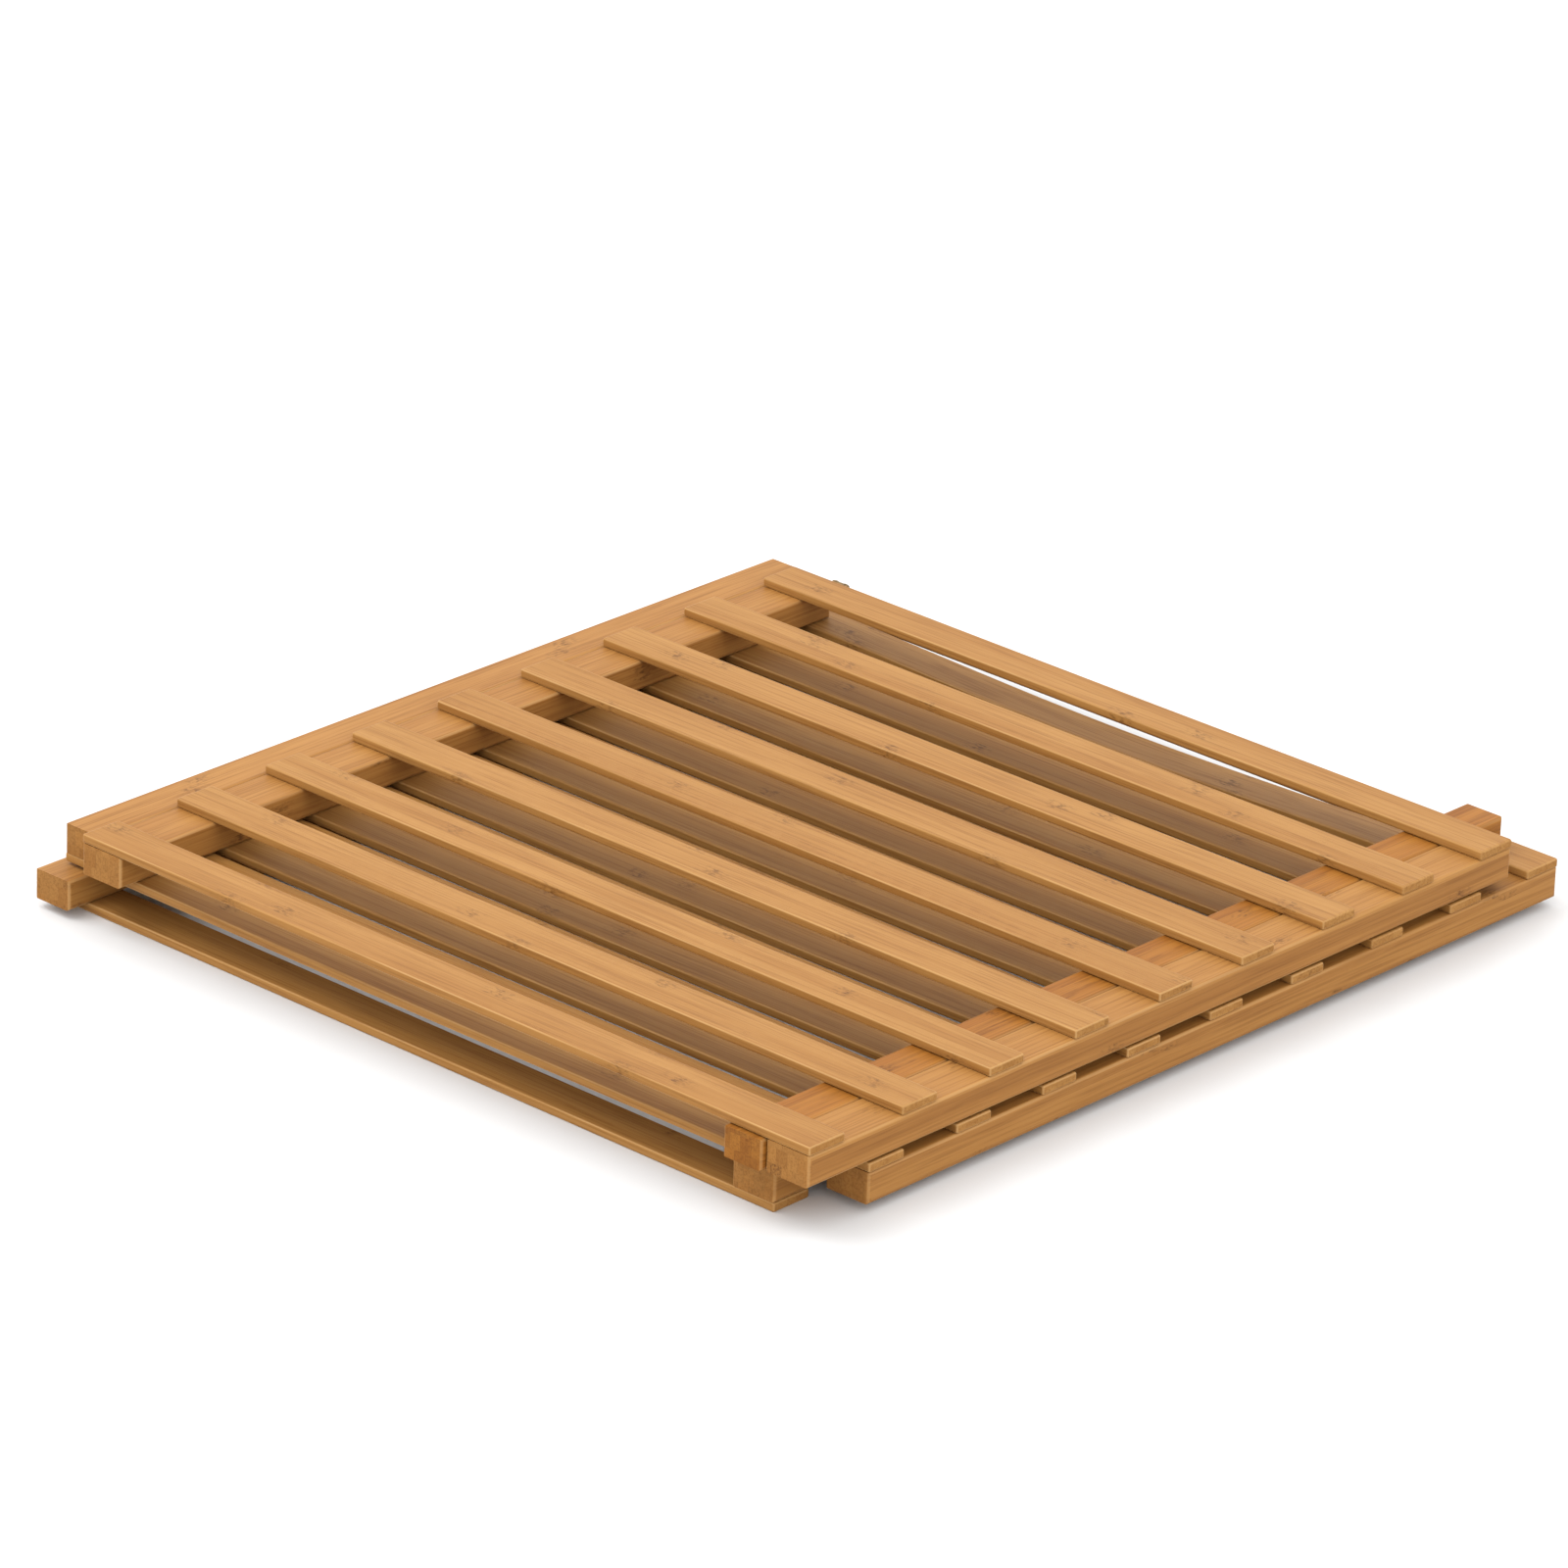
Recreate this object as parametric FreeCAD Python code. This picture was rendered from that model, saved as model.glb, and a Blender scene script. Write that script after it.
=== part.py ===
import FreeCAD, Part
import os
from FreeCAD import Vector

# Folding bamboo duckboard, shown closed.
# Two leaves lie one on the other and open flat about a pin line at the far end.
# Each leaf is two slatted ladders nested back to back: a face ladder with its slats up
# and a base ladder with its slats down, their rails side by side at one level.
# +X runs along the slats, +Y along the rails towards the hinge, +Z up, in millimetres.
# Origin: middle of the closed board's footprint, on the floor.

# Stock
slat_length = 500.0
slat_width = 25.0
slat_thickness = 5.0
rail_width = 28.0
rail_height = 17.0
bar_width = 25.0            # narrower stock, nested against a neighbour rail
bar_relief = 0.5            # bars are planed this much lower than the rails

# Ladders
slats_per_ladder = 9
slat_pitch = 62.75
front_slat_advance = 3.0    # first slat of the upper face ladder, flush with its rail ends
base_setback = 12.0         # base ladders start this far behind the upper face ladder
bar_front_reach = 14.5      # long bars run past their slats, as a grip in front
bar_far_reach = 19.5        # and as hinge arms at the back

# Gaps
leaf_gap = 1.0              # between the closed leaves, where their slats interleave
upper_seam = 0.3            # between a rail and the bar beside it, upper leaf
lower_seam_right = 4.0      # the same in the lower leaf
lower_seam_left = 7.0

# Edges
rail_arris = 2.0
slat_arris = 1.2

# Hinge
strap_thickness = 1.2
strap_width = 7.0
strap_hold = 55.0           # length of strap along the ladder, before the ladder's end
housing_clearance = 0.1     # round a strap let in flush with its bar
eye_radius = 2.1
eye_clearance = 0.6         # from the lower leaf's far end to the nearest strap eye
slat_clearance = 0.4        # from a strap to slats it passes without touching
pin_radius = 1.0
pin_running_clearance = 0.05
pin_fixed_clearance = 0.02
pin_head_radius = 1.9
pin_head_height = 1.1
head_play = 0.1

# Screws
screw_radius = 1.4
screw_head_radius = 2.7
screw_length = 14.0
screw_clearance = 0.03
screw_from_end = 8.0        # nearest screw, from the end of the shorter ladders
screw_spacing = 20.0

# Derived heights, counted up from the floor
lower_base_slat_z = 0.0
lower_rail_z = lower_base_slat_z + slat_thickness
lower_face_slat_z = lower_rail_z + rail_height
hinge_z = lower_face_slat_z + slat_thickness + (leaf_gap - slat_thickness) / 2
upper_base_slat_z = lower_face_slat_z + leaf_gap
upper_rail_z = upper_base_slat_z + slat_thickness
upper_face_slat_z = upper_rail_z + rail_height
bar_height = rail_height - bar_relief

# Derived lengths along the rails, counted from the first slat's regular place in the upper face ladder
ladder_length = (slats_per_ladder - 1) * slat_pitch + slat_width
upper_face_front = -front_slat_advance
base_front = upper_face_front + base_setback
interleave = slat_width + (slat_pitch - 2 * slat_width) / 2
lower_face_front = base_front + interleave
lower_face_end = lower_face_front + ladder_length
base_end = base_front + ladder_length
bar_front = base_front - bar_front_reach
bar_end = base_end + bar_far_reach
hinge_y = lower_face_end + eye_radius + eye_clearance
far_limit = hinge_y + max(eye_radius, strap_width / 2)

# Derived places along the slats, counted from the face ladders' right ends
upper_base_right = -(rail_width + upper_seam)
upper_base_left = -(slat_length + upper_seam + bar_width)
lower_base_right = -(rail_width + lower_seam_right)
lower_base_left = -(slat_length + lower_seam_left + bar_width)

# Origin
origin_x = min(lower_base_left, upper_base_left) / 2
origin_y = (bar_front + far_limit) / 2


def block(x0, x1, y0, y1, z0, z1):
    corner = Vector(x0 - origin_x, y0 - origin_y, z0)
    return Part.makeBox(x1 - x0, y1 - y0, z1 - z0, corner)


def edges_where(shape, test):
    return [edge for edge in shape.Edges if test(edge)]


def runs_along(edge, axis):
    start, end = edge.Vertexes[0].Point, edge.Vertexes[-1].Point
    step = end - start
    return abs(step.dot(axis)) > step.Length * 0.999


def rail(x0, width, y0, y1, z0, height):
    body = block(x0, x0 + width, y0, y1, z0, z0 + height)
    radius = min(rail_arris, width / 4, height / 4)
    long_edges = edges_where(body, lambda edge: runs_along(edge, Vector(0, 1, 0)))
    end_uprights = edges_where(body, lambda edge: runs_along(edge, Vector(0, 0, 1)))
    return body.makeFillet(radius, long_edges + end_uprights)


def slat(x0, length, y0, z0, face_up):
    body = block(x0, x0 + length, y0, y0 + slat_width, z0, z0 + slat_thickness)
    face_z = z0 + slat_thickness if face_up else z0
    on_face = edges_where(body, lambda edge: abs(edge.CenterOfMass.z - face_z) < 1e-6)
    radius = min(slat_arris, slat_thickness / 3)
    return body.makeFillet(radius, on_face)


def rod(x0, x1, y, z, radius):
    centre = Vector(x0 - origin_x, y - origin_y, z)
    return Part.makeCylinder(radius, x1 - x0, centre, Vector(1, 0, 0))


def slat_set(prefix, right, length, front, z, face_up, first_shift=0.0):
    pieces = {}
    for index in range(slats_per_ladder):
        y = front + index * slat_pitch
        if index == 0:
            y -= first_shift
        pieces[f"{prefix}_{index + 1}"] = slat(right - length, length, y, z, face_up)
    return pieces


def bar_of_metal(x0, y0, z0, y1, z1, half):
    # A flat bar with round ends, upright and square to the pin line, between two centres
    x1 = x0 + strap_thickness
    if abs(y1 - y0) > abs(z1 - z0):
        middle = block(x0, x1, y0, y1, z0 - half, z0 + half)
    else:
        middle = block(x0, x1, y0 - half, y0 + half, min(z0, z1), max(z0, z1))
    return middle.fuse([rod(x0, x1, y0, z0, half), rod(x0, x1, y1, z1, half)])


def strap(x0, start_y, arm_z, step_y):
    # An arm along its bar, then a leg to the height of the pin line, then the eye
    arm = bar_of_metal(x0, start_y, arm_z, step_y, arm_z, strap_width / 2)
    leg = bar_of_metal(x0, step_y, arm_z, step_y, hinge_z, eye_radius)
    parts = [leg]
    if hinge_y > step_y:
        parts.append(bar_of_metal(x0, step_y, hinge_z, hinge_y, hinge_z, eye_radius))
    return arm.fuse(parts).removeSplitter()


def housing(x0, start_y, arm_z, past_y):
    half = strap_width / 2 + housing_clearance
    return bar_of_metal(x0, start_y, arm_z, past_y, arm_z, half)


def screw(face_x, y, z, into, spread=0.0):
    # Countersunk, its head flush with the strap; spread widens it into its own hole
    head_x = face_x - into * strap_thickness
    centre = Vector(head_x - origin_x, y - origin_y, z)
    head = Part.makeCone(screw_head_radius + spread, screw_radius + spread,
                         strap_thickness, centre, Vector(into, 0, 0))
    shank_start = Vector(face_x - origin_x, y - origin_y, z)
    shank = Part.makeCylinder(screw_radius + spread, screw_length - strap_thickness + spread,
                              shank_start, Vector(into, 0, 0))
    return head.fuse(shank).removeSplitter()


nodes = {}

# Slats
upper_base_length = upper_base_right - upper_base_left
lower_base_length = lower_base_right - lower_base_left
nodes.update(slat_set("upper_face_slat", 0.0, slat_length, 0.0, upper_face_slat_z, True,
                      front_slat_advance))
nodes.update(slat_set("upper_base_slat", upper_base_right, upper_base_length, base_front,
                      upper_base_slat_z, False))
nodes.update(slat_set("lower_face_slat", 0.0, slat_length, lower_face_front,
                      lower_face_slat_z, True))
nodes.update(slat_set("lower_base_slat", lower_base_right, lower_base_length, base_front,
                      lower_base_slat_z, False))

# Rails of the face ladders, flush with the slat ends
upper_face_end = ladder_length
nodes["upper_face_rail_right"] = rail(-rail_width, rail_width, upper_face_front,
                                      upper_face_end, upper_rail_z, rail_height)
nodes["upper_face_rail_left"] = rail(-slat_length, rail_width, upper_face_front,
                                     upper_face_end, upper_rail_z, rail_height)
nodes["lower_face_rail_right"] = rail(-rail_width, rail_width, lower_face_front,
                                      lower_face_end, lower_rail_z, rail_height)
nodes["lower_face_rail_left"] = rail(-slat_length, rail_width, lower_face_front,
                                     lower_face_end, lower_rail_z, rail_height)

# Rails and long bars of the base ladders
upper_bar_x = upper_base_right - bar_width
lower_rail_x = lower_base_right - rail_width
upper_long_bar = rail(upper_bar_x, bar_width, bar_front, bar_end, upper_rail_z, bar_height)
upper_short_bar = rail(upper_base_left, bar_width, base_front, base_end, upper_rail_z,
                       bar_height)
lower_base_rail = rail(lower_rail_x, rail_width, base_front, base_end, lower_rail_z,
                       bar_height)
lower_long_bar = rail(lower_base_left, bar_width, bar_front, bar_end, lower_rail_z,
                      bar_height)

# Hinge straps, each let into the side of its bar
strap_start = base_end - strap_hold
screw_places = [base_end - screw_from_end, base_end - screw_from_end - screw_spacing]
upper_arm_z = upper_rail_z + slat_clearance + strap_width / 2
lower_arm_z = lower_rail_z + bar_height / 2
low_run_y = base_end + slat_clearance + eye_radius
strap_plans = {
    "upper_strap_right": ("upper_base_bar_right", upper_long_bar, upper_bar_x, 1,
                          upper_arm_z, hinge_y),
    "upper_strap_left": ("upper_base_bar_left", upper_short_bar,
                         upper_base_left + bar_width, -1, upper_arm_z, low_run_y),
    "lower_strap_right": ("lower_base_rail_right", lower_base_rail, lower_rail_x, 1,
                          lower_arm_z, hinge_y),
    "lower_strap_left": ("lower_base_bar_left", lower_long_bar,
                         lower_base_left + bar_width, -1, lower_arm_z, hinge_y),
}
strap_x = {}
screws = {"upper": [], "lower": []}
for name, (bar_name, bar, face_x, into, arm_z, step_y) in strap_plans.items():
    x0 = face_x if into > 0 else face_x - strap_thickness
    seat_x = face_x + into * strap_thickness
    strap_x[name] = x0
    holes = [screw(seat_x, y, arm_z, into, screw_clearance) for y in screw_places]
    screws[name.split("_")[0]] += [screw(seat_x, y, arm_z, into) for y in screw_places]
    nodes[name] = strap(x0, strap_start, arm_z, step_y).cut(Part.makeCompound(holes))
    pocket = housing(x0, strap_start, arm_z, hinge_y)
    nodes[bar_name] = bar.cut(Part.makeCompound([pocket] + holes))
nodes["upper_strap_screws"] = Part.makeCompound(screws["upper"])
nodes["lower_strap_screws"] = Part.makeCompound(screws["lower"])

# Pins and spacers: each pin is fixed in the lower strap and runs in the upper one
for side in ("right", "left"):
    upper_name, lower_name = f"upper_strap_{side}", f"lower_strap_{side}"
    upper_x, lower_x = strap_x[upper_name], strap_x[lower_name]
    head_x = upper_x + strap_thickness + head_play
    shaft = rod(lower_x, head_x, hinge_y, hinge_z, pin_radius)
    head = rod(head_x, head_x + pin_head_height, hinge_y, hinge_z, pin_head_radius)
    tail = rod(lower_x - pin_head_height, lower_x, hinge_y, hinge_z, pin_head_radius)
    nodes[f"hinge_pin_{side}"] = shaft.fuse([head, tail]).removeSplitter()
    running_bore = rod(upper_x, upper_x + strap_thickness, hinge_y, hinge_z,
                       pin_radius + pin_running_clearance)
    fixed_bore = rod(lower_x, lower_x + strap_thickness, hinge_y, hinge_z,
                     pin_radius + pin_fixed_clearance)
    nodes[upper_name] = nodes[upper_name].cut(running_bore)
    nodes[lower_name] = nodes[lower_name].cut(fixed_bore)
    spacer_x0, spacer_x1 = lower_x + strap_thickness, upper_x - head_play
    spacer = rod(spacer_x0, spacer_x1, hinge_y, hinge_z, pin_head_radius)
    bore = rod(spacer_x0, spacer_x1, hinge_y, hinge_z, pin_radius + pin_running_clearance)
    nodes[f"hinge_spacer_{side}"] = spacer.cut(bore)

os.makedirs("parts", exist_ok=True)
for name, shape in nodes.items():
    shape.exportStep(f"parts/{name}.step")

hinge_place = (round(hinge_y - origin_y, 4), round(hinge_z, 4))
print(f"{len(nodes)} nodes, pin line at y, z = {hinge_place}")
print(f"closed size {-2 * origin_x:.1f} x {2 * (far_limit - origin_y):.1f}")
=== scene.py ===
import math
import bpy
from mathutils import Matrix, Vector


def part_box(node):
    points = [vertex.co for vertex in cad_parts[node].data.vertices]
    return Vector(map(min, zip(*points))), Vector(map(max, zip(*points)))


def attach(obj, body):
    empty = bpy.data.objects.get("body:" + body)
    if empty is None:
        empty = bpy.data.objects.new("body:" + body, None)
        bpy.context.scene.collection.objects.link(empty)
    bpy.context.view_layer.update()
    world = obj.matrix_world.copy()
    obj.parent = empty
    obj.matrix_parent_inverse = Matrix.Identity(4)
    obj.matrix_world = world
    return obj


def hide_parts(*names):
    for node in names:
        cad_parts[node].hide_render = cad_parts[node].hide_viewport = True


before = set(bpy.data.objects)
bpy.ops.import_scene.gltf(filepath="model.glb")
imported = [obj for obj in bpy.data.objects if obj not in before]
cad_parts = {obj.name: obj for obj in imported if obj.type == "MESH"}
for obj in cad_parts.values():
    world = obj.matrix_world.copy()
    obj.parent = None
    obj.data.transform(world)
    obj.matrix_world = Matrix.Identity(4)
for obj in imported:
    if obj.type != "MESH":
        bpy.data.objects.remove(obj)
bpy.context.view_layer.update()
print("frame loaded:", len(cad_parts), "nodes")


# A node's output, with the arithmetic it is used in

class Wire:
    def __init__(self, tree, socket):
        self.tree = tree
        self.socket = socket

    def node(self, kind, settings=None, inputs=None, output=0):
        made = self.tree.nodes.new(kind)
        for name, value in (settings or {}).items():
            setattr(made, name, value)
        for key, value in (inputs or {}).items():
            if isinstance(value, Wire):
                self.tree.links.new(value.socket, made.inputs[key])
            else:
                made.inputs[key].default_value = value
        return Wire(self.tree, made.outputs[output])

    def maths(self, operation, *others):
        # This value goes in first, then the others
        values = dict(enumerate((self, *others)))
        return self.node("ShaderNodeMath", {"operation": operation}, values)

    def __add__(self, other):
        return self.maths("ADD", other)

    def __radd__(self, other):
        return self.maths("ADD", other)

    def __sub__(self, other):
        return self.maths("SUBTRACT", other)

    def __rsub__(self, other):
        return self.node("ShaderNodeMath", {"operation": "SUBTRACT"}, {0: other, 1: self})

    def __mul__(self, other):
        return self.maths("MULTIPLY", other)

    def __rmul__(self, other):
        return self.maths("MULTIPLY", other)

    def __truediv__(self, other):
        return self.maths("DIVIDE", other)

    def ramp(self, low, high):
        # 0 below low, 1 above high, and smooth between
        return self.node("ShaderNodeMapRange", {"interpolation_type": "SMOOTHSTEP"},
                         {0: self, 1: low, 2: high})

    def tint(self, here, there):
        # Colour that goes from here to there as this value goes from 0 to 1
        return self.node("ShaderNodeMix", {"data_type": "RGBA"}, {0: self, 6: here, 7: there}, 2)


def newMaterial(name):
    material = bpy.data.materials.new(name)
    material.use_nodes = True
    shader = material.node_tree.nodes["Principled BSDF"]
    start = Wire(material.node_tree, shader.outputs[0])     # only there to make nodes with
    return material, shader, start


def feed(shader, name, wire):
    wire.tree.links.new(wire.socket, shader.inputs[name])


# Carbonised bamboo: strips laid side by side, long fibres, and knuckles where the cane had its joints

bamboo = {
    "knuckleSpacing": 0.27,
    "knuckleReach": 0.014,      # flecks either side of a knuckle
    "knuckleHeart": 0.0005,     # where they are thickest
    "knuckleWander": 0.012,     # how ragged its edges are
    "lineHeart": 0.0004,        # the fine line across it, and that line's soft edge
    "lineReach": 0.0022,
    "layerShift": 0.0003,       # keeps the lowest laths' undersides in the laths' one layer
    "layerSlip": 0.5,           # strips over, from one layer to the next
    "cloudScale": 11.0,         # broad changes of tone, per metre
    "poreScale": 2300.0,        # pores in a cut end, per metre
    "noiseRoughness": 0.6,
    # least painted edge highlight and rubbed wear on every arris
    "leastEdgeHighlight": 0.4,
    "roughness": 0.50,
    "fibreRoughness": 0.10,     # added along the fibres
    "endRoughness": 0.18,       # added on the cut ends
    "bumpStrength": 0.16,
    "bumpHeight": 0.0004,
    "specular": 0.14,
}
fibreKinds = {                  # per metre across the grain, per metre along it, detail
    "fine": (760.0, 14.0, 3.0),
    "coarse": (300.0, 4.0, 3.0),
    "blotch": (110.0, 34.0, 4.0),
    "ragged": (700.0, 240.0, 3.0),
}
masks = {                       # where each mask starts, and where it is full
    "tone": (0.05, 0.95),
    "lines": (0.42, 0.70),
    "stains": (0.44, 0.66),
    "blotches": (0.46, 0.60),
    "flecks": (0.46, 0.64),
    "present": (0.34, 0.40),    # strips with a knuckle, by their own number
    "seam": (0.470, 0.499),     # strip widths from a strip's middle
    "square": (0.84, 0.985),    # how nearly a face looks along an axis
    # cloud values over which the arrises' painted highlight and rubbed wear grows to full
    "edgeHighlightRubbing": (0.35, 0.65),
    "cutEnd": (0.90, 0.98),
    "pores": (0.5, 0.7),
}
apart = {"piece": 37.0, "layer": 17.0, "strip": 40.0, "second": 0.37}   # keep random numbers apart
toneShares = {"strip": 0.36, "coarse": 0.50, "cloud": 0.40, "shift": 0.14}
knuckleShares = {"flecks": 0.55, "line": 0.16}
thirstShares = {"strip": 0.26, "seam": 0.26, "pores": 0.12, "least": 0.05}
heightShares = {"fine": 0.35, "coarse": 0.3, "knuckle": 0.6, "seam": 0.25}

slatStock = {
    "stripWidth": 0.0083,
    "layerHeight": 1.0,         # a lath is one layer thick
    "light": (0.352, 0.178, 0.050, 1),
    "honey": (0.275, 0.122, 0.027, 1),
    "fibre": (0.150, 0.052, 0.010, 1),
    "knuckle": (0.075, 0.026, 0.006, 1),
    # pale arris colour: painted highlight, partly rubbed wear
    "edgeHighlightWear": (0.470, 0.280, 0.115, 1),
    "lines": 0.50,              # how dark the fibres are drawn
    "edgeHighlightRub": 0.42,                # how pale the arrises get: painted highlight, partly rubbed wear
    "mottle": 0.0,              # how dark the stains are
    "seam": 0.10,               # how dark the glue lines are
    "thirst": 0.35,             # how much the cut ends darken
}
railStock = {
    "stripWidth": 0.0070,
    "layerHeight": 0.0085,
    "light": (0.350, 0.168, 0.044, 1),
    "honey": (0.265, 0.110, 0.023, 1),
    # pale arris colour: painted highlight, partly rubbed wear
    "fibre": (0.130, 0.044, 0.008, 1),
    "knuckle": (0.070, 0.024, 0.006, 1),
    "edgeHighlightWear": (0.450, 0.262, 0.105, 1),
    "lines": 0.42,
    "edgeHighlightRub": 0.34,
    "mottle": 0.14,
    "seam": 0.12,
    "thirst": 0.80,
}
barStock = {                    # redder, only in the upper half's long bar
    "stripWidth": 0.0070,
    "layerHeight": 0.0085,
    "light": (0.315, 0.128, 0.020, 1),
    "honey": (0.225, 0.076, 0.010, 1),
    # pale arris colour: painted highlight, partly rubbed wear
    "fibre": (0.095, 0.030, 0.005, 1),
    "knuckle": (0.060, 0.020, 0.005, 1),
    "edgeHighlightWear": (0.430, 0.245, 0.095, 1),
    "lines": 0.40,
    "edgeHighlightRub": 0.30,
    "mottle": 0.42,
    "seam": 0.16,
    "thirst": 1.00,
}


def bambooMaterial(name, stock, along, perPiece):
    # along is the grain's axis, 0 for x and 1 for y
    material, shader, start = newMaterial(name)
    place = start.node("ShaderNodeTexCoord", output="Object")
    axes = [start.node("ShaderNodeSeparateXYZ", inputs={0: place}, output=i) for i in range(3)]
    grain, across, up = axes[along], axes[1 - along], axes[2]
    piece = 0.0
    if perPiece:
        lath = start.node("ShaderNodeAttribute", {"attribute_name": "strip"}, output="Fac")
        piece = lath * apart["piece"]
    layer = ((up + bamboo["layerShift"]) / stock["layerHeight"]).maths("FLOOR")
    strip = across / stock["stripWidth"] + layer * bamboo["layerSlip"]
    stripNumber = strip.maths("FLOOR") + layer * apart["layer"] + piece
    chance = start.node("ShaderNodeTexWhiteNoise", {"noise_dimensions": "1D"}, {"W": stripNumber})
    other = start.node("ShaderNodeTexWhiteNoise", {"noise_dimensions": "1D"},
                       {"W": stripNumber + apart["second"]})

    def fibres(kind):
        acrossScale, alongScale, detail = fibreKinds[kind]
        spot = start.node("ShaderNodeCombineXYZ", inputs={
            0: across * acrossScale + chance * apart["strip"], 1: grain * alongScale + piece,
            2: up * acrossScale})
        return start.node("ShaderNodeTexNoise", inputs={
            "Vector": spot, "Scale": 1.0, "Detail": detail, "Roughness": bamboo["noiseRoughness"]})

    fine = fibres("fine")
    coarse = fibres("coarse")
    blotch = fibres("blotch")
    ragged = fibres("ragged")
    cloud = start.node("ShaderNodeTexNoise", inputs={
        "Vector": place, "Scale": bamboo["cloudScale"], "Detail": 2.0})

    # Knuckles: a soft patch of flecks on each strip, about where the cane had its joint
    turn = grain / bamboo["knuckleSpacing"] + chance
    fromJoint = ((turn.maths("FRACT") - 0.5) * bamboo["knuckleSpacing"]
                 + (ragged - 0.5) * bamboo["knuckleWander"])
    distance = fromJoint.maths("ABSOLUTE")
    patch = 1.0 - distance.ramp(bamboo["knuckleHeart"], bamboo["knuckleReach"])
    line = 1.0 - distance.ramp(bamboo["lineHeart"], bamboo["lineReach"])
    flecks = patch * ragged.ramp(*masks["flecks"])
    present = other.ramp(*masks["present"])
    knuckle = (flecks * knuckleShares["flecks"] + line * knuckleShares["line"]) * present

    seamPlace = strip.maths("FRACT") - 0.5
    seam = seamPlace.maths("ABSOLUTE").ramp(*masks["seam"])

    tone = (chance * toneShares["strip"] + coarse * toneShares["coarse"]
            + cloud * toneShares["cloud"] - toneShares["shift"])
    base = tone.ramp(*masks["tone"]).tint(stock["light"], stock["honey"])
    lined = (fine.ramp(*masks["lines"]) * stock["lines"]).tint(base, stock["fibre"])
    stains = coarse.ramp(*masks["stains"]) * blotch.ramp(*masks["blotches"])
    stained = (stains * stock["mottle"]).tint(lined, stock["fibre"])
    seamed = (seam * stock["seam"]).tint(stained, stock["fibre"])
    marked = knuckle.tint(seamed, stock["knuckle"])

    # Arrises get a pale painted highlight, partly rubbed wear too; cut ends drink the lacquer, each
    # glued strip by its own amount
    facing = start.node("ShaderNodeNewGeometry", output="Normal")
    local = start.node("ShaderNodeVectorTransform", {
        "vector_type": "NORMAL", "convert_from": "WORLD", "convert_to": "OBJECT"}, {0: facing})
    sides = [start.node("ShaderNodeSeparateXYZ", inputs={0: local}, output=i) for i in range(3)]
    turned = [side.maths("ABSOLUTE") for side in sides]
    squarest = turned[0].maths("MAXIMUM", turned[1]).maths("MAXIMUM", turned[2])
    # arrises, faces turned off the axes, are painted paler as a highlight, partly rubbed wear
    arris = 1.0 - squarest.ramp(*masks["square"])
    edgeHighlightRubbing = arris * (bamboo["leastEdgeHighlight"] + cloud.ramp(*masks["edgeHighlightRubbing"]))
    edgeHighlighted = (edgeHighlightRubbing * stock["edgeHighlightRub"]).tint(marked, stock["edgeHighlightWear"])
    cutEnd = turned[along].ramp(*masks["cutEnd"])
    pores = start.node("ShaderNodeTexNoise", inputs={
        "Vector": place, "Scale": bamboo["poreScale"], "Detail": 1.0})
    thirst = (other * thirstShares["strip"] + seam * thirstShares["seam"]
              + pores.ramp(*masks["pores"]) * thirstShares["pores"] + thirstShares["least"])
    finished = (cutEnd * thirst * stock["thirst"]).tint(edgeHighlighted, stock["knuckle"])
    feed(shader, "Base Color", finished)
    feed(shader, "Roughness", bamboo["roughness"] + fine * bamboo["fibreRoughness"]
         + cutEnd * bamboo["endRoughness"])

    height = (fine * heightShares["fine"] + coarse * heightShares["coarse"]
              + knuckle * heightShares["knuckle"] - seam * heightShares["seam"])
    feed(shader, "Normal", start.node("ShaderNodeBump", inputs={
        "Strength": bamboo["bumpStrength"], "Distance": bamboo["bumpHeight"], "Height": height}))
    shader.inputs["Specular IOR Level"].default_value = bamboo["specular"]
    return material


slatBamboo = bambooMaterial("slatBamboo", slatStock, 0, True)
railBamboo = bambooMaterial("railBamboo", railStock, 1, False)
barBamboo = bambooMaterial("barBamboo", barStock, 1, False)
print("bamboo ready")


# Hinge metals; the brass is painted dark brown like the shaded wood around the straps, painted shade

metals = {
    # brass colour darkened to the shaded wood's brown, painted shade; its dull colour is handling wear
    "shadeDarkBrass": {"color": (0.22, 0.14, 0.06, 1), "dull": (0.11, 0.07, 0.03, 1), "roughness": 0.45},
    "zinc": {"color": (0.50, 0.50, 0.49, 1), "dull": (0.30, 0.30, 0.30, 1), "roughness": 0.32},
}
metalWear = {
    "handlingScale": 140.0,
    "brushing": (900, 40, 4000),    # strokes per metre along x, y and z
    "dulled": (0.42, 0.68),         # handling that starts to dull it, and that has dulled it
    "dullRoughness": 0.16,
    "brushRoughness": 0.08,
    "bumpStrength": 0.12,
    "bumpHeight": 0.0002,
}


def metalMaterial(name, finish):
    material, shader, start = newMaterial(name)
    place = start.node("ShaderNodeTexCoord", output="Object")
    handling = start.node("ShaderNodeTexNoise", inputs={
        "Vector": place, "Scale": metalWear["handlingScale"], "Detail": 5.0})
    stretch = start.node("ShaderNodeMapping", inputs={"Vector": place, "Scale": metalWear["brushing"]})
    brushing = start.node("ShaderNodeTexNoise", inputs={
        "Vector": stretch, "Scale": 1.0, "Detail": 2.0})
    dulled = handling.ramp(*metalWear["dulled"])
    feed(shader, "Base Color", dulled.tint(finish["color"], finish["dull"]))
    feed(shader, "Roughness", finish["roughness"] + dulled * metalWear["dullRoughness"]
         + brushing * metalWear["brushRoughness"])
    feed(shader, "Normal", start.node("ShaderNodeBump", inputs={
        "Strength": metalWear["bumpStrength"], "Distance": metalWear["bumpHeight"],
        "Height": brushing}))
    shader.inputs["Metallic"].default_value = 1.0
    return material


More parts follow.
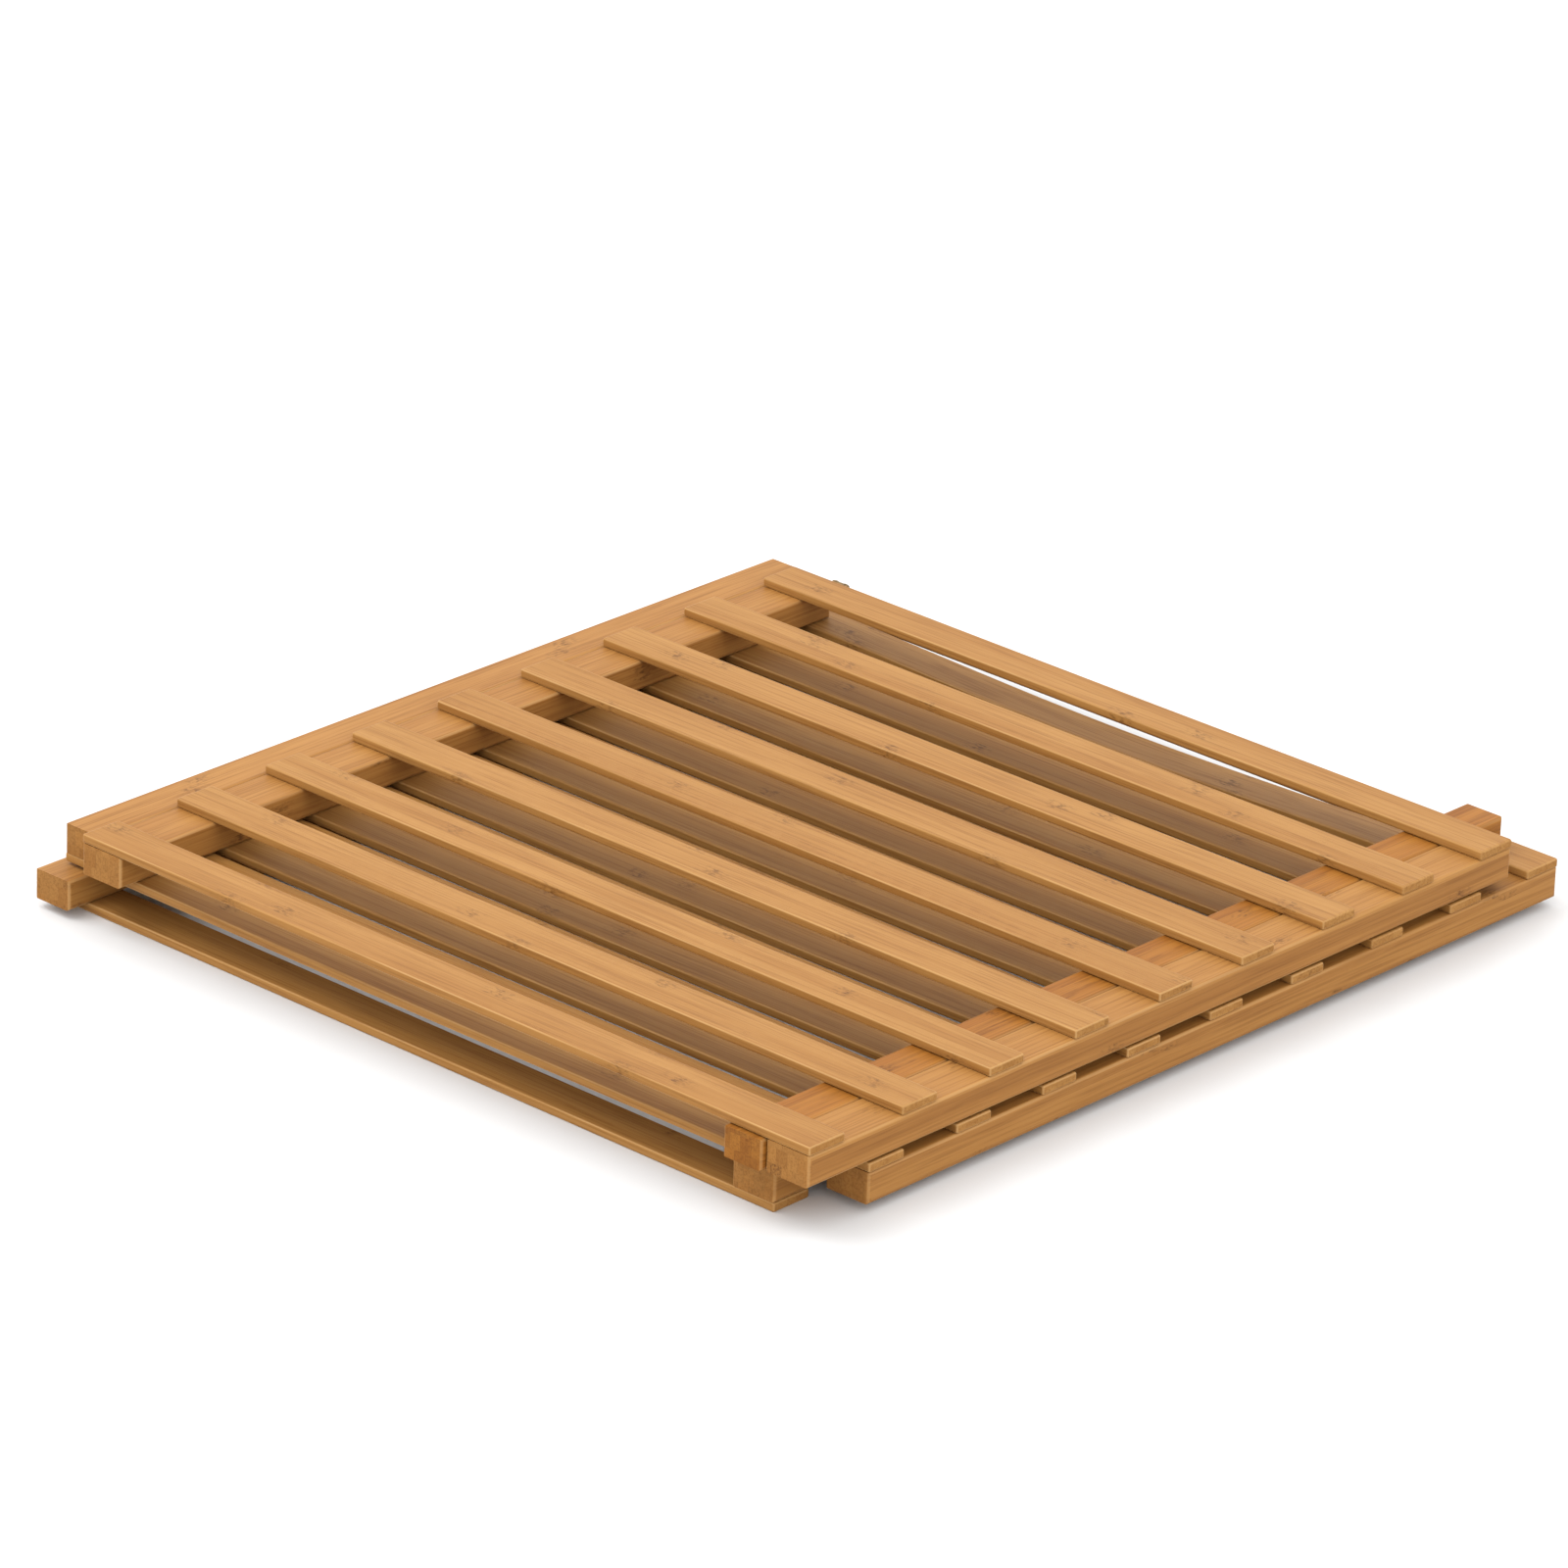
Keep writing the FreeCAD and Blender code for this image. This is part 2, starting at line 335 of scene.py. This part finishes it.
shadeDarkBrass = metalMaterial("shadeDarkDulledBrass", metals["shadeDarkBrass"])
zinc = metalMaterial("zincPlate", metals["zinc"])


# Slats: a Geometry Nodes ladder of rounded laths, each with its own number for the grain

slats = {
    "count": 9,
    "arris": 0.0011,            # rounding of every edge
    "arrisSteps": 3,
    "cutsAlong": 40,
    "squareCorner": 60.0,       # degrees; end edges that turn more than this are rounded too
    "shuffle": 0.00012,         # most that a lath is shifted along its length
}
# Every lath hangs by once to twice its sag at mid length, and the last one by lastSag more
ladders = {
    "upper_face_slat": {"body": "upper_half", "seed": 3, "sag": 0.0002, "lastSag": 0.0},
    "upper_base_slat": {"body": "upper_half", "seed": 11, "sag": 0.0006, "lastSag": 0.0039},
    "lower_face_slat": {"body": "lower_half", "seed": 19, "sag": 0.0, "lastSag": 0.0},
    "lower_base_slat": {"body": "lower_half", "seed": 27, "sag": 0.0, "lastSag": 0.0},
}


def ladderTree(material):
    tree = bpy.data.node_groups.new("slatLadder", "GeometryNodeTree")
    sizes = {}
    for name, kind in (
            ("Count", "Int"), ("Length", "Float"), ("Width", "Float"), ("Thickness", "Float"),
            ("First Pitch", "Float"), ("Pitch", "Float"), ("Arris", "Float"),
            ("Arris Steps", "Int"), ("Cuts Along", "Int"), ("Sag", "Float"), ("Last Sag", "Float"),
            ("Shuffle", "Float"), ("Seed", "Int"), ("First Place", "Vector")):
        socket = tree.interface.new_socket(name, in_out="INPUT", socket_type="NodeSocket" + kind)
        sizes[name] = socket.identifier
    tree.interface.new_socket("Geometry", in_out="OUTPUT", socket_type="NodeSocketGeometry")
    entry = tree.nodes.new("NodeGroupInput")
    leave = tree.nodes.new("NodeGroupOutput")
    given = {name: Wire(tree, entry.outputs[name]) for name in sizes}
    make = given["Count"].node

    # One lath about the origin: a rounded section drawn along x
    section = make("GeometryNodeCurvePrimitiveQuadrilateral", inputs={
        0: given["Width"], 1: given["Thickness"]})
    rounded = make("GeometryNodeFilletCurve", {"mode": "POLY"}, {
        "Curve": section, "Radius": given["Arris"], "Count": given["Arris Steps"],
        "Limit Radius": True})
    half = given["Length"] * 0.5
    path = make("GeometryNodeCurvePrimitiveLine", inputs={
        "Start": make("ShaderNodeCombineXYZ", inputs={0: half * -1.0}),
        "End": make("ShaderNodeCombineXYZ", inputs={0: half})})
    cut = make("GeometryNodeResampleCurve", inputs={"Curve": path, "Count": given["Cuts Along"]})
    level = make("GeometryNodeSetCurveNormal", {"mode": "Z_UP"}, {"Curve": cut})
    lath = make("GeometryNodeCurveToMesh", inputs={
        "Curve": level, "Profile Curve": rounded, "Fill Caps": True})

    # Places: the first gap can differ from the rest
    number = make("GeometryNodeInputIndex")
    later = number.maths("GREATER_THAN", 0.5)
    along = (number - 1.0) * given["Pitch"] * later + later * given["First Pitch"]
    nudge = make("FunctionNodeRandomValue", {"data_type": "FLOAT"}, {
        2: given["Shuffle"] * -1.0, 3: given["Shuffle"], "ID": number, "Seed": given["Seed"]}, 1)
    step = make("ShaderNodeCombineXYZ", inputs={0: nudge, 1: along})
    placed = make("ShaderNodeVectorMath", {"operation": "ADD"}, {0: step, 1: given["First Place"]})
    points = make("GeometryNodePoints", inputs={"Count": given["Count"], "Position": placed})

    # Each lath keeps its own number for the grain and its own sag
    strip = make("FunctionNodeRandomValue", {"data_type": "FLOAT"}, {
        2: 0.0, 3: 1.0, "ID": number, "Seed": given["Seed"] + 7.0}, 1)
    last = (number - given["Count"]).maths("GREATER_THAN", -1.5)
    hang = given["Sag"] * (strip + 1.0) + given["Last Sag"] * last
    store = {"data_type": "FLOAT", "domain": "POINT"}
    numbered = make("GeometryNodeStoreNamedAttribute", store, {
        "Geometry": points, "Name": "strip", "Value": strip})
    hung = make("GeometryNodeStoreNamedAttribute", store, {
        "Geometry": numbered, "Name": "hang", "Value": hang})
    copies = make("GeometryNodeInstanceOnPoints", inputs={"Points": hung, "Instance": lath})
    real = make("GeometryNodeRealizeInstances", inputs={"Geometry": copies})
    place = make("GeometryNodeInputPosition")
    placeX = make("ShaderNodeSeparateXYZ", inputs={0: place})
    middleX = make("ShaderNodeSeparateXYZ", inputs={0: given["First Place"]})
    swing = (placeX - middleX) / given["Length"] * math.pi
    belly = swing.maths("COSINE")
    amount = make("GeometryNodeInputNamedAttribute", {"data_type": "FLOAT"}, {"Name": "hang"})
    drop = make("ShaderNodeCombineXYZ", inputs={2: amount * belly * belly * -1.0})
    sagged = make("GeometryNodeSetPosition", inputs={"Geometry": real, "Offset": drop})
    finish = make("GeometryNodeSetMaterial", inputs={"Geometry": sagged, "Material": material})
    tree.links.new(finish.socket, leave.inputs[0])
    return tree, sizes


slatTree, slatInputs = ladderTree(slatBamboo)


def ladder(prefix, plan):
    names = [f"{prefix}_{i + 1}" for i in range(slats["count"])]
    low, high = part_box(names[0])
    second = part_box(names[1])[0]
    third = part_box(names[2])[0]
    size = high - low
    holder = bpy.data.objects.new("ladderMaker", bpy.data.meshes.new("ladderMaker"))
    bpy.context.scene.collection.objects.link(holder)
    growth = holder.modifiers.new("ladder", "NODES")
    growth.node_group = slatTree
    values = {
        "Count": slats["count"], "Length": size.x, "Width": size.y, "Thickness": size.z,
        "First Pitch": second.y - low.y, "Pitch": third.y - second.y,
        "Arris": slats["arris"], "Arris Steps": slats["arrisSteps"],
        "Cuts Along": slats["cutsAlong"], "Sag": plan["sag"], "Last Sag": plan["lastSag"],
        "Shuffle": slats["shuffle"], "Seed": plan["seed"], "First Place": (low + high) / 2}
    for name, value in values.items():
        growth[slatInputs[name]] = value
    rounding = holder.modifiers.new("endArris", "BEVEL")
    rounding.width = slats["arris"]
    rounding.segments = slats["arrisSteps"]
    rounding.limit_method = "ANGLE"
    rounding.angle_limit = math.radians(slats["squareCorner"])
    ready = holder.evaluated_get(bpy.context.evaluated_depsgraph_get())
    mesh = bpy.data.meshes.new_from_object(ready)
    bpy.data.objects.remove(holder)
    mesh.name = prefix + "s"
    mesh.shade_smooth()
    piece = bpy.data.objects.new(prefix + "s", mesh)
    bpy.context.scene.collection.objects.link(piece)
    sharpen = piece.modifiers.new("flatFaces", "WEIGHTED_NORMAL")
    sharpen.keep_sharp = True
    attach(piece, plan["body"])
    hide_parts(*names)
    print(prefix, "slats:", len(mesh.polygons), "faces")


for prefix, plan in ladders.items():
    ladder(prefix, plan)


# Rails, bars and hinge parts keep their modelled shape and get their finish

for name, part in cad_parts.items():
    if "_slat_" in name:
        continue
    finish = railBamboo
    if name == "upper_base_bar_right":
        finish = barBamboo
    elif "screws" in name:
        finish = zinc
    elif "strap" in name or "hinge" in name:
        # straps and hinges take the brass darkened to match the shade around them
        finish = shadeDarkBrass
    part.data.materials.clear()
    part.data.materials.append(finish)
print("finishes given")


# Floor, light and camera

studio = {
    "floorSize": 60.0,
    "floorColor": (0.62, 0.62, 0.62, 1),    # the lights bring it up to white
    "floorRoughness": 0.9,
    "worldStrength": 1.74,
    "keyPlace": (-1.6, -1.4, 3.2),
    "keySize": 2.2,
    "keyPower": 62.0,
    "fillPlace": (2.6, -1.2, 1.6),
    "fillSize": 2.6,
    "fillPower": 15.0,
}

floorMesh = bpy.data.meshes.new("floor")
half = studio["floorSize"] / 2
corners = [(-half, -half, 0), (half, -half, 0), (half, half, 0), (-half, half, 0)]
floorMesh.from_pydata(corners, [], [(0, 1, 2, 3)])
floor = bpy.data.objects.new("floor", floorMesh)
bpy.context.scene.collection.objects.link(floor)
paper, paperShader, _ = newMaterial("paper")
paperShader.inputs["Base Color"].default_value = studio["floorColor"]
paperShader.inputs["Roughness"].default_value = studio["floorRoughness"]
floorMesh.materials.append(paper)

world = bpy.data.worlds.new("studio")
world.use_nodes = True
sky = world.node_tree.nodes["Background"]
sky.inputs["Color"].default_value = (1, 1, 1, 1)
sky.inputs["Strength"].default_value = studio["worldStrength"]
bpy.context.scene.world = world


def softLight(name, place, size, power):
    light = bpy.data.lights.new(name, "AREA")
    light.size = size
    light.energy = power
    lamp = bpy.data.objects.new(name, light)
    lamp.location = place
    lamp.rotation_euler = (-Vector(place)).to_track_quat("-Z", "Y").to_euler()
    bpy.context.scene.collection.objects.link(lamp)


softLight("key", studio["keyPlace"], studio["keySize"], studio["keyPower"])
softLight("fill", studio["fillPlace"], studio["fillSize"], studio["fillPower"])

view = {
    "azimuth": 41.97,
    "elevation": 23.463,
    "roll": -2.114,
    "distance": 4.8508,
    "aim": (-0.07376, 0.06311, 0.025),
    "lens": 213.66,
    "sensor": 36.0,
    "farClip": 100.0,
}
turnAside = math.radians(view["azimuth"])
lift = math.radians(view["elevation"])
outward = Vector((math.sin(turnAside) * math.cos(lift), -math.cos(turnAside) * math.cos(lift),
                  math.sin(lift)))
lens = bpy.data.cameras.new("camera")
lens.lens = view["lens"]
lens.sensor_width = view["sensor"]
lens.clip_end = view["farClip"]
camera = bpy.data.objects.new("camera", lens)
rolled = Matrix.Rotation(math.radians(-view["roll"]), 3, "Z")
aimed = outward.to_track_quat("Z", "Y").to_matrix() @ rolled
stand = Vector(view["aim"]) + outward * view["distance"]
camera.matrix_world = Matrix.Translation(stand) @ aimed.to_4x4()
bpy.context.scene.collection.objects.link(camera)
bpy.context.scene.camera = camera
bpy.context.scene.view_settings.view_transform = "Standard"
print("studio ready")

bpy.context.view_layer.update()
